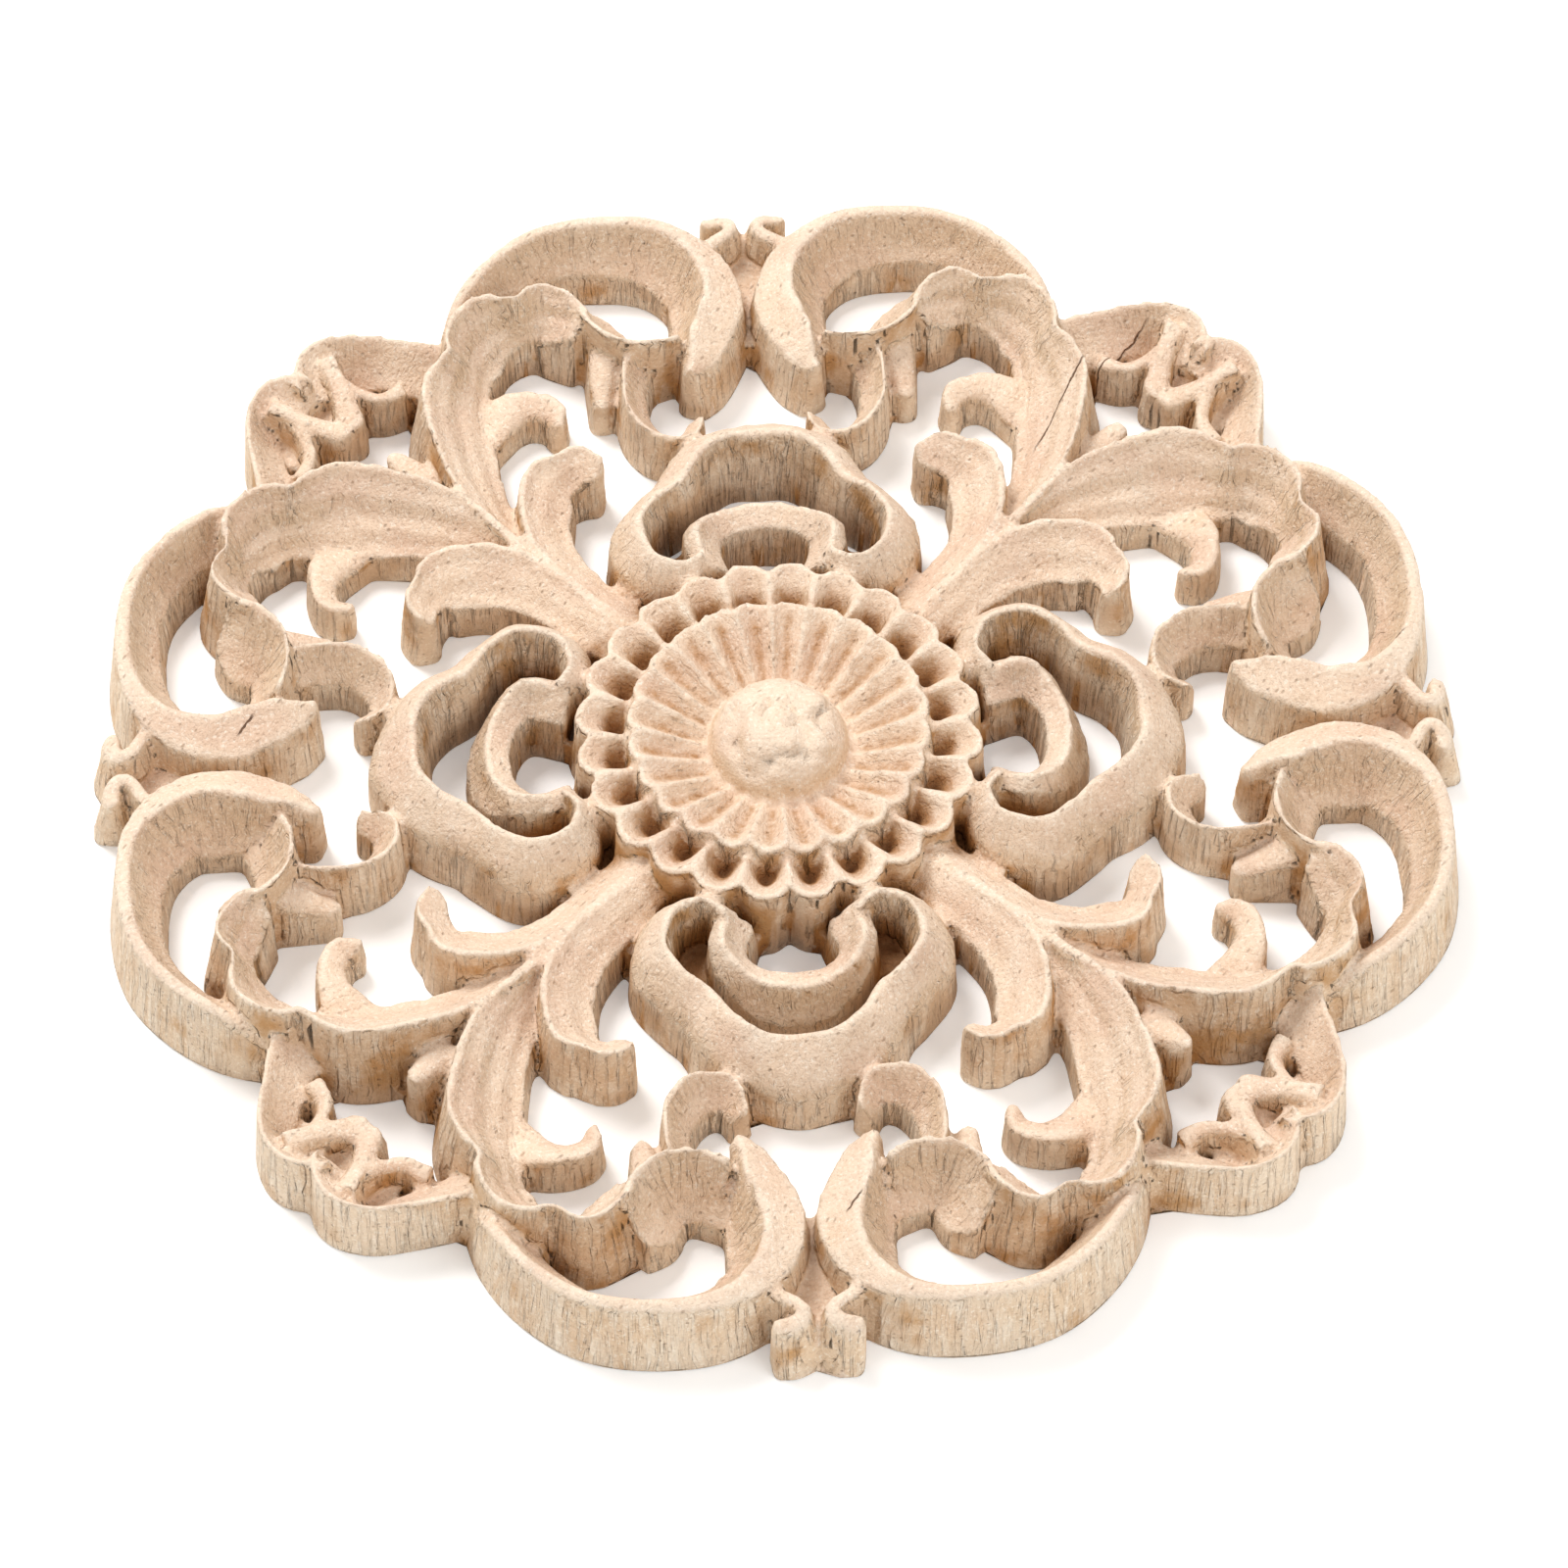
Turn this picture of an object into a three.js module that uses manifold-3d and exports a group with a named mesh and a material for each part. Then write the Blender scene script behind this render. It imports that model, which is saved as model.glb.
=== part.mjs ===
// Carved wood applique: a pierced round rosette of scrolls and acanthus leaves, carved in one piece.
// Millimetres, +Z up. The flat back lies on z = 0 and the carving faces +Z.
// The origin is the centre of the back, under the flower.
// The design has the symmetry of a square. One eighth of it, between the +X axis and the
// diagonal, is drawn as strokes. Each stroke is a ribbon of wood with upright sides.

import * as THREE from 'three';
import { mergeVertices } from 'three/addons/utils/BufferGeometryUtils.js';
import Module from 'manifold-3d';

// Driving dimensions
const span = 150; // across the finials on the axes
const depth = 12.6; // from the flat back to the highest leaf edge
const flowerRadius = 22.4; // to the tips of the outer petals
const flowerRim = 10.8; // height of the outer petals
const innerPetalRadius = 16.5;
const innerPetalRim = 11.6;
const bossRadius = 7.2;
const bossHeight = 13.2;
const petalCount = 24; // in each of the two rings
const webHeight = 3.4; // low floor that ties the strokes to the flower

// The strokes are drawn for a rosette of this size and follow span and depth in proportion
const drawnSpan = 150;
const drawnDepth = 12.6;
const planScale = span / drawnSpan;
const heightScale = depth / drawnDepth;

// Carving habits of every stroke
const sideSlope = 0.06; // the sides spread by this much for each millimetre down
const scoop = 1.5; // how hollow the face falls away from its crest
const trim = 1; // the strokes reach this far below the back before it is cut flat

// Strokes of one eighth. Each station is
// [x, y, width, height of the left edge, height of the crest, height of the right edge,
//  place of the crest from 0 at the left edge to 1 at the right edge]
const volute = {
  rows: 4,
  tip: true,
  leftSlope: 0.12,
  stations: [
    [55.3, 34.0, 3.8, 5.8, 6.0, 5.2, 0.2],
    [60.2, 31.9, 4.1, 9.8, 10.0, 5.6, 0.25],
    [64.8, 28.6, 4.2, 10.4, 10.6, 5.4, 0.28],
    [68.5, 23.8, 4.2, 10.6, 10.8, 5.4, 0.3],
    [69.8, 17.5, 4.6, 10.6, 10.8, 5.2, 0.3],
    [69.0, 10.8, 5.5, 10.2, 10.7, 4.4, 0.32],
    [65.6, 6.1, 7.1, 8.8, 10.6, 3.4, 0.46],
    [61.0, 4.8, 8.2, 8.2, 10.7, 3.2, 0.52],
    [56.8, 5.4, 7.2, 8.2, 10.8, 4.4, 0.62],
    [53.2, 6.0, 4.8, 8.2, 10.2, 7.0, 0.7],
    [51.2, 6.8, 2.4, 8.0, 9.2, 8.0, 0.6],
  ],
};
const bridge = {
  rows: 3,
  stations: [
    [60.4, 18.7, 3.4, 6.0, 12.2, 12.2, 1],
    [58.2, 16.6, 6.0, 3.8, 12.0, 12.0, 1],
    [55.6, 14.7, 4.6, 3.4, 11.9, 11.9, 1],
    [55.3, 11.8, 4.6, 3.4, 11.5, 11.5, 1],
    [56.4, 8.8, 4.6, 3.6, 10.7, 10.7, 1],
  ],
};
const leaf = {
  rows: 3,
  leftSlope: 0.16,
  stations: [
    [15.2, 14.4, 2.2, 8.2, 8.2, 6.0, 0],
    [30.1, 28.1, 3.8, 9.8, 9.8, 5.6, 0],
    [35.9, 31.4, 6.0, 11.0, 11.0, 5.2, 0],
    [41.3, 32.9, 7.2, 11.9, 11.9, 4.6, 0],
    [47.4, 33.5, 7.7, 12.4, 12.4, 4.2, 0],
    [52.3, 32.1, 4.5, 12.5, 12.5, 4.4, 0],
    [54.4, 32.1, 5.4, 12.6, 12.6, 4.6, 0],
    [57.3, 30.0, 5.6, 12.6, 12.6, 4.8, 0],
    [58.6, 26.3, 2.4, 12.4, 12.4, 6.2, 0],
    [59.4, 23.7, 4.2, 12.5, 12.5, 6.2, 0],
    [58.1, 21.2, 3.8, 12.4, 12.4, 7.6, 0],
    [56.6, 19.2, 2.6, 12.2, 12.2, 9.6, 0],
  ],
};
const leaflet = {
  rows: 3,
  leftSlope: 0.1,
  tip: true,
  stations: [
    [16.4, 13.4, 3.2, 8.2, 8.2, 6.0, 0],
    [25.4, 21.9, 4.8, 9.4, 9.4, 5.6, 0],
    [30.8, 24.2, 5.6, 10.0, 10.0, 5.4, 0],
    [35.9, 23.8, 5.6, 10.0, 10.0, 5.6, 0],
    [37.4, 22.3, 3.6, 9.9, 9.9, 6.0, 0],
    [38.4, 20.4, 3.6, 9.8, 9.8, 6.6, 0],
    [38.1, 18.6, 2.4, 9.4, 9.4, 7.4, 0],
  ],
};
const tendril = {
  rows: 2,
  tip: true,
  stations: [
    [46.8, 31.2, 6.4, 4.0, 4.0, 4.0, 0],
    [48.9, 27.9, 4.2, 5.8, 5.8, 4.8, 0],
    [49.4, 25.2, 3.1, 6.2, 6.2, 4.8, 0],
    [48.5, 22.8, 2.8, 6.2, 6.2, 4.6, 0],
    [46.7, 22.4, 1.7, 5.8, 5.8, 4.8, 0],
  ],
};
const hook = {
  rows: 2,
  tip: true,
  stations: [
    [53.4, 12.7, 3.0, 5.6, 9.6, 9.6, 1],
    [50.3, 13.5, 2.8, 4.8, 9.6, 9.6, 1],
    [46.4, 13.2, 3.0, 4.4, 9.4, 9.4, 1],
    [43.5, 10.9, 3.2, 4.2, 8.8, 8.8, 1],
    [43.4, 8.0, 2.8, 4.2, 8.0, 8.0, 1],
    [45.4, 6.9, 2.2, 4.4, 7.0, 7.0, 1],
  ],
};
const stub = {
  rows: 2,
  tip: true,
  stations: [
    [54.6, 16.8, 3.8, 8.4, 8.4, 7.4, 0],
    [49.4, 17.3, 2.4, 5.6, 5.6, 5.2, 0],
  ],
};
const frame = {
  rows: 3,
  crossesAxis: true,
  hollow: 0.8,
  stations: [
    [23.6, 6.8, 2.2, 8.4, 11.0, 8.6, 0.7],
    [21.5, 9.4, 3.2, 7.4, 11.5, 8.4, 0.75],
    [23.0, 13.6, 4.2, 6.4, 11.8, 7.6, 0.8],
    [28.0, 15.1, 4.6, 6.4, 12.0, 7.4, 0.8],
    [32.2, 12.6, 4.2, 6.4, 11.8, 7.4, 0.8],
    [34.4, 10.2, 4.8, 6.6, 11.2, 7.4, 0.8],
    [38.1, 7.9, 5.2, 6.6, 11.8, 7.4, 0.8],
    [40.7, 4.3, 5.2, 6.4, 11.7, 7.4, 0.8],
    [41.6, 0, 6.4, 5.2, 11.2, 7.4, 0.8],
  ],
};
const swag = {
  rows: 3,
  crossesAxis: true,
  stations: [
    [22.6, 5.8, 4.2, 8.6, 9.4, 7.0, 0.35],
    [27.3, 7.0, 4.2, 9.0, 10.8, 7.0, 0.35],
    [30.6, 4.4, 4.4, 5.0, 8.8, 7.0, 0.42],
    [31.8, 0, 4.8, 3.6, 8.4, 7.2, 0.45],
  ],
};
const axisCup = {
  rows: 2,
  tip: true,
  rightSlope: 0.18,
  stations: [
    [69.0, 4.4, 1.8, 8.4, 8.4, 8.0, 0],
    [71.0, 1.5, 1.7, 8.6, 8.6, 8.4, 0],
    [72.6, 1.9, 2.0, 8.6, 8.6, 7.8, 0],
    [72.9, 3.9, 2.2, 8.2, 8.2, 7.0, 0],
  ],
};
const palm = {
  rows: 2,
  tip: true,
  stations: [
    [53.4, 35.8, 5.2, 4.6, 8.8, 8.8, 1],
    [55.0, 41.6, 4.2, 4.4, 9.2, 9.2, 1],
    [55.6, 46.0, 3.8, 3.6, 9.6, 9.6, 1],
    [54.1, 49.3, 4.0, 5.0, 10.0, 10.0, 1],
    [51.2, 50.4, 3.2, 6.0, 9.6, 9.6, 1],
  ],
};
const palmFloor = {
  rows: 2,
  stations: [
    [54.0, 44.4, 5.0, 3.2, 3.2, 3.2, 0],
    [50.8, 48.2, 5.0, 3.2, 3.2, 3.2, 0],
    [46.4, 46.6, 3.6, 5.0, 5.0, 5.0, 0],
  ],
};
const palmCurl = {
  rows: 2,
  stations: [
    [51.8, 39.6, 2.4, 6.4, 6.4, 6.0, 0],
    [50.5, 42.4, 1.8, 6.8, 6.8, 6.0, 0],
    [51.4, 45.4, 1.6, 7.6, 7.6, 6.8, 0],
    [53.2, 47.8, 2.0, 8.8, 8.8, 8.0, 0],
  ],
};
const palmFin = {
  rows: 2,
  tip: true,
  stations: [
    [54.6, 48.6, 2.8, 9.4, 9.4, 8.2, 0],
    [51.2, 47.0, 2.2, 8.2, 8.2, 7.4, 0],
    [47.4, 45.8, 3.2, 6.8, 6.8, 6.4, 0],
  ],
};
const stemTip = {
  rows: 2,
  tip: true,
  stations: [
    [36.8, 36.8, 4.2, 7.4, 7.4, 7.4, 0],
    [40.4, 40.4, 2.8, 7.8, 7.8, 7.8, 0],
  ],
};
const axisWeb = {
  rows: 2,
  stations: [
    [57.6, 0, 2.4, webHeight, webHeight, webHeight, 0],
    [66.0, 0, 5.4, webHeight, webHeight, webHeight, 0],
    [73.4, 0, 6.0, webHeight, webHeight, webHeight, 0],
  ],
};
const rootWeb = {
  rows: 2,
  stations: [
    [13.5, 13.5, 12.0, webHeight, webHeight, webHeight, 0],
    [26.0, 26.0, 6.0, webHeight, webHeight, webHeight, 0],
  ],
};
const curlWeb = {
  rows: 2,
  stations: [
    [22.0, 8.4, 3.4, webHeight, webHeight, webHeight, 0],
    [28.2, 10.6, 3.6, webHeight, webHeight, webHeight, 0],
  ],
};

// Strokes on an axis or a diagonal have one copy for both halves
const drawnTwice = [
  volute, bridge, leaf, leaflet, tendril, hook, stub, axisCup, palm, palmFloor, palmCurl, palmFin,
  curlWeb,
];
const drawnOnce = [frame, swag, stemTip, axisWeb, rootWeb];

// Smooth curve through the stations, for every column at once
function stationAt(stations, t) {
  const last = stations.length - 1;
  const i = Math.min(Math.floor(t), last - 1);
  const s = t - i;
  const a = stations[Math.max(i - 1, 0)];
  const b = stations[i];
  const c = stations[i + 1];
  const d = stations[Math.min(i + 2, last)];
  return b.map((value, k) => {
    const rise = (c[k] - a[k]) / 2;
    const fall = (d[k] - b[k]) / 2;
    const gap = c[k] - value;
    return value + s * (rise + s * (3 * gap - 2 * rise - fall + s * (rise + fall - 2 * gap)));
  });
}

// Height of a stroke's face at a share of its width
function faceHeight(station, across, hollow) {
  const [, , , left, crest, right, place] = station;
  const edge = across < place ? left : right;
  const run = across < place ? (place - across) / place : (across - place) / (1 - place || 1);
  return edge + (crest - edge) * (1 - run) ** hollow;
}

// Shares of the width where a stroke's face has its vertices: the two edges and the crest,
// with any further rows spread over the wider side
function acrossRows(place, rows) {
  if (place === 0 || place === 1) {
    return Array.from({ length: rows }, (_, k) => k / (rows - 1));
  }
  const wide = Array.from({ length: rows - 1 }, (_, k) => k / (rows - 2));
  return place < 0.5 ? [0, ...wide.map((k) => place + (1 - place) * k)] : [...wide.map((k) => place * k), 1];
}

// Stations of a stroke. One that crosses the +X axis goes on as its own mirror image.
function allStations({ stations, crossesAxis }) {
  if (!crossesAxis) {
    return stations;
  }
  const back = stations.slice(0, -1).reverse();
  return [...stations, ...back.map(([x, y, ...rest]) => [x, -y, ...rest])];
}

// Cross-sections of a stroke, from its first station to its free end
function sections(stroke) {
  const { rows, tip, leftSlope = sideSlope, rightSlope = sideSlope, hollow = scoop } = stroke;
  const stations = allStations(stroke);
  const last = stations.length - 1;
  const list = [];
  const add = (t, push, narrow) => {
    const here = stationAt(stations, t);
    const ahead = stationAt(stations, Math.min(t + 0.1, last));
    const behind = stationAt(stations, Math.max(t - 0.1, 0));
    const heading = Math.atan2(ahead[1] - behind[1], ahead[0] - behind[0]);
    const along = [Math.cos(heading), Math.sin(heading)];
    const side = [-along[1], along[0]];
    const half = (here[2] / 2) * narrow;
    const x = here[0] + along[0] * push;
    const y = here[1] + along[1] * push;
    const top = acrossRows(here[6], rows).map((across) => {
      const offset = half - 2 * half * across;
      return [x + side[0] * offset, y + side[1] * offset, faceHeight(here, across, hollow)];
    });
    const foot = (offset, z) => [x + side[0] * offset, y + side[1] * offset, z];
    const leftFoot = half + leftSlope * here[3];
    const rightFoot = -half - rightSlope * here[5];
    list.push([foot(leftFoot, -trim), foot(leftFoot, 0), ...top, foot(rightFoot, 0), foot(rightFoot, -trim)]);
  };
  stations.forEach((_, k) => add(k, 0, 1));
  if (tip) {
    add(last, stations[last][2] * 0.4, 0.5);
  }
  return list;
}

// Closed ribbon from its cross-sections
function ribbon(stroke) {
  const rings = sections(stroke);
  const count = rings[0].length;
  const scaled = rings.flat().map(([x, y, z]) => [x * planScale, y * planScale, z * heightScale]);
  const index = [];
  for (let i = 0; i < rings.length - 1; i += 1) {
    for (let k = 0; k < count; k += 1) {
      const a = i * count + k;
      const b = i * count + ((k + 1) % count);
      index.push(a, b, a + count, b, b + count, a + count);
    }
  }
  const cap = (ring, wanted) => {
    const [foot] = rings[ring];
    const flat = rings[ring].map(([x, y, z]) => new THREE.Vector2(Math.hypot(x - foot[0], y - foot[1]), z));
    for (const [a, b, c] of THREE.ShapeUtils.triangulateShape(flat, [])) {
      const winding = Math.sign(THREE.ShapeUtils.area([flat[a], flat[b], flat[c]]));
      const start = ring * count;
      index.push(start + a, ...(winding === wanted ? [start + b, start + c] : [start + c, start + b]));
    }
  };
  cap(0, 1);
  cap(rings.length - 1, -1);
  return { positions: scaled.flat(), index };
}

// Flower: polar surface of two petal rings round a boss, closed by a flat back
function flower() {
  const petalSteps = 3;
  const around = petalCount * petalSteps;
  const rings = [];
  const addRing = (radius, height) => {
    rings.push(Array.from({ length: around }, (_, k) => {
      const angle = (k / around) * 2 * Math.PI;
      const beat = Math.abs(Math.sin((petalCount / 2) * angle)); // 1 at mid petal, 0 at a cusp
      const r = radius(beat);
      return [r * Math.cos(angle), r * Math.sin(angle), height(beat)];
    }));
  };
  const cusp = 1.6; // how far the cusps sit inside the petal tips
  addRing(() => bossRadius + 1.4, (beat) => 7.4 - 0.9 * beat);
  addRing((beat) => innerPetalRadius - 1.1 * (1 - beat), (beat) => innerPetalRim - 0.6 * beat);
  addRing((beat) => innerPetalRadius + 0.5 - 0.8 * (1 - beat), (beat) => flowerRim - 1.2 - 3.2 * beat);
  addRing(() => innerPetalRadius + 2.4, (beat) => flowerRim - 0.2 - 2.0 * beat);
  addRing((beat) => flowerRadius - cusp * (1 - beat), (beat) => flowerRim - 0.5 * (1 - beat));
  addRing((beat) => flowerRadius + 0.5 - cusp * (1 - beat), () => 0);
  addRing((beat) => flowerRadius + 0.5 - cusp * (1 - beat), () => -trim);
  const positions = [[0, 0, 6.0], ...rings.flat(), [0, 0, -trim]];
  const index = [];
  const vertex = (ring, k) => 1 + ring * around + (k % around);
  for (let k = 0; k < around; k += 1) {
    index.push(0, vertex(0, k), vertex(0, k + 1));
    for (let ring = 0; ring < rings.length - 1; ring += 1) {
      index.push(vertex(ring, k), vertex(ring + 1, k), vertex(ring, k + 1));
      index.push(vertex(ring, k + 1), vertex(ring + 1, k), vertex(ring + 1, k + 1));
    }
    index.push(positions.length - 1, vertex(rings.length - 1, k + 1), vertex(rings.length - 1, k));
  }
  return { positions: positions.flat(), index };
}

// Boss: a dome standing in the middle of the flower
function boss() {
  const sink = 5.0; // its foot stays inside the flower
  const rise = bossHeight - sink;
  const arcSteps = 4;
  const profile = [new THREE.Vector2(0, sink)];
  for (let k = 0; k < arcSteps; k += 1) {
    const turn = (k / arcSteps) * (Math.PI / 2);
    profile.push(new THREE.Vector2(bossRadius * Math.cos(turn), sink + rise * Math.sin(turn)));
  }
  profile.push(new THREE.Vector2(0, bossHeight));
  const dome = new THREE.LatheGeometry(profile, 18);
  dome.rotateX(Math.PI / 2);
  return dome;
}

const wasm = await Module();
wasm.setup();

function solidFrom(positions, index) {
  return new wasm.Manifold(new wasm.Mesh({
    numProp: 3,
    vertProperties: new Float32Array(positions),
    triVerts: new Uint32Array(index),
  }));
}

function solidFromGeometry(geometry) {
  const bare = geometry.clone();
  bare.deleteAttribute('normal');
  bare.deleteAttribute('uv');
  const merged = mergeVertices(bare, 1e-4);
  return solidFrom(merged.attributes.position.array, merged.index.array);
}

// One eighth turned or mirrored into its place: quarter turns, then a swap of x and y
function placed({ positions, index }, quarter, swap) {
  const cos = [1, 0, -1, 0][quarter];
  const sin = [0, 1, 0, -1][quarter];
  const moved = [];
  for (let i = 0; i < positions.length; i += 3) {
    const x = swap ? positions[i + 1] : positions[i];
    const y = swap ? positions[i] : positions[i + 1];
    moved.push(x * cos - y * sin, x * sin + y * cos, positions[i + 2]);
  }
  const turned = [];
  for (let i = 0; i < index.length; i += 3) {
    turned.push(index[i], swap ? index[i + 2] : index[i + 1], swap ? index[i + 1] : index[i + 2]);
  }
  return solidFrom(moved, turned);
}

function buildApplique() {
  const { positions, index } = flower();
  let whole = solidFrom(positions, index).add(solidFromGeometry(boss()));
  for (let quarter = 0; quarter < 4; quarter += 1) {
    for (const stroke of [...drawnTwice, ...drawnOnce]) {
      whole = whole.add(placed(ribbon(stroke), quarter, false));
    }
    for (const stroke of drawnTwice) {
      whole = whole.add(placed(ribbon(stroke), quarter, true));
    }
  }
  const slab = new THREE.BoxGeometry(2 * span, 2 * span, 4 * trim);
  slab.translate(0, 0, -2 * trim);
  return whole.subtract(solidFromGeometry(slab));
}

function geometryFrom(solid) {
  const mesh = solid.getMesh();
  const geometry = new THREE.BufferGeometry();
  geometry.setAttribute('position', new THREE.BufferAttribute(new Float32Array(mesh.vertProperties), 3));
  geometry.setIndex(new THREE.BufferAttribute(new Uint32Array(mesh.triVerts), 1));
  geometry.computeVertexNormals();
  return geometry;
}

const paleWood = new THREE.MeshStandardMaterial({ color: 0xe6d0b4, roughness: 0.85, metalness: 0 });
const applique = new THREE.Mesh(geometryFrom(buildApplique()), paleWood);
applique.name = 'carved_applique';

const group = new THREE.Group();
group.add(applique);
export default group;
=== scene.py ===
import bpy
import math
import numpy as np
from bpy.props import FloatProperty, FloatVectorProperty, IntProperty, PointerProperty
from bpy.types import Operator, Panel, PropertyGroup
from mathutils import Matrix, Vector
from mathutils.kdtree import KDTree


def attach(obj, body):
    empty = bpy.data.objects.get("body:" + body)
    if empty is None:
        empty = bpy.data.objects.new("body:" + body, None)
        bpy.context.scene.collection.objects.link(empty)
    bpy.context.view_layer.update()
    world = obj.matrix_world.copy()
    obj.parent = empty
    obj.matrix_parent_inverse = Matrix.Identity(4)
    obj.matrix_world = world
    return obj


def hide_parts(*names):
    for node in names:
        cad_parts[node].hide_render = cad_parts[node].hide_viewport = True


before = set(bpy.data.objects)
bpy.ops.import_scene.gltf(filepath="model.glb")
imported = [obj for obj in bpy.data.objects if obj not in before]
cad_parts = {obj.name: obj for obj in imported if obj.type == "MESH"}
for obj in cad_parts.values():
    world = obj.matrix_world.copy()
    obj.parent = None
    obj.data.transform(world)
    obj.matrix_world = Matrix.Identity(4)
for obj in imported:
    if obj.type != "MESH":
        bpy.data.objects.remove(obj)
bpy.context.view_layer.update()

bl_info = {
    "name": "Carved Rosette Applique",
    "version": (1, 0, 0),
    "blender": (4, 5, 0),
    "location": "3D View > Sidebar > Applique",
    "description": "Builds a pierced and carved wood rosette on its packed frame",
    "category": "Add Mesh",
}

MM = 0.001

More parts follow.
